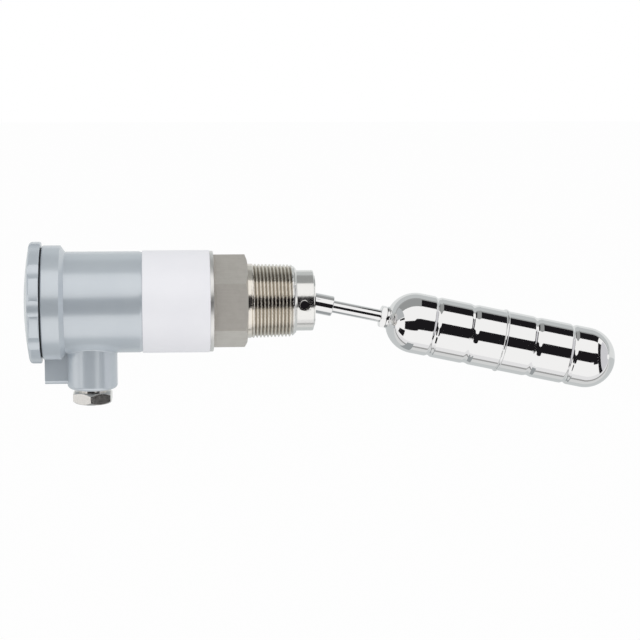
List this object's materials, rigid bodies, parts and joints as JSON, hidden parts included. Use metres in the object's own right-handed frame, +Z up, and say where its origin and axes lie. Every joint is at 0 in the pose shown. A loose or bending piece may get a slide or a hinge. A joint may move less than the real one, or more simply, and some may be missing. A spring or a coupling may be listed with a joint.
{
  "type": "reed float switch",
  "caption": "Side-mounted reed float switch with terminal housing, screw cover, insulating sleeve, hexagon pipe-thread body and a hinged stainless float arm.",
  "frame": {"origin": "on the axis of the process thread, in the hexagon's face on the process side", "axes": "+X along the process thread towards the float, +Z up as mounted, cable gland towards -Z"},
  "size_m": [0.3822, 0.0772, 0.1037],
  "materials": {
    "cast_aluminium": "silver-grey coated casting, satin",
    "white_plastic": "white, satin",
    "turned_stainless": "turned and milled, bright",
    "polished_stainless": "mirror polished",
    "nickel_brass": "nickel plated, bright",
    "plated_steel": "zinc plated",
    "black_rubber": "matt black",
    "dark_magnet": "dull",
    "grey_plastic": "moulded, satin",
    "clamp_brass": "bright",
    "blade_alloy": "bright",
    "reed_glass": "clear",
    "brown_insulation": "smooth",
    "blue_insulation": "smooth"
  },
  "bodies": {
    "root": {"housing": "cast_aluminium", "insulating_sleeve": "white_plastic", "sleeve_o_ring_front": "black_rubber", "sleeve_o_ring_rear": "black_rubber", "process_body": "turned_stainless", "pivot_pin": "polished_stainless", "pivot_washers": "white_plastic", "neck_washer": "plated_steel", "neck_nut": "plated_steel", "gland_screw": "nickel_brass", "gland_washer": "plated_steel", "gland_seal": "black_rubber", "carrier_plate": "plated_steel", "carrier_screws": "plated_steel", "earth_washer": "plated_steel", "earth_screw": "plated_steel", "terminal_block": "grey_plastic", "terminal_clamps": "clamp_brass", "terminal_screws": "plated_steel", "block_screws": "plated_steel", "reed_blades": "blade_alloy", "reed_glass": "reed_glass", "reed_carrier": "grey_plastic", "bore_plug": "grey_plastic", "reed_lead_rear": "brown_insulation", "reed_lead_front": "blue_insulation"},
    "cover_seal": {"cover_seal": "black_rubber"},
    "cover": {"cover": "cast_aluminium"},
    "float_arm": {"lever": "polished_stainless", "magnet_holder": "polished_stainless", "magnet": "dark_magnet", "magnet_cap": "polished_stainless", "float_rod": "polished_stainless", "lock_nut": "polished_stainless", "float_bush": "polished_stainless", "float_shell_front": "polished_stainless", "float_shell_rear": "polished_stainless", "float_seam": "polished_stainless"}
  },
  "joints": [
    {"name": "float_pivot", "type": "hinge", "parent": "root", "child": "float_arm", "pos_m": [0.0359, 0, 0], "axis": [0, -1, 0], "range_deg": [0, 24]},
    {"name": "cover_turn", "type": "hinge", "parent": "root", "child": "cover_seal", "pos_m": [-0.1299, 0, 0], "axis": [-1, 0, 0], "range_deg": [0, 1440]},
    {"name": "cover_travel", "type": "slide", "parent": "cover_seal", "child": "cover", "axis": [-1, 0, 0], "range_m": [0, 0.008]}
  ],
  "couplings": [
    {"joint": "cover_travel", "follows": "cover_turn", "m_per_rad": 0.00031828}
  ]
}
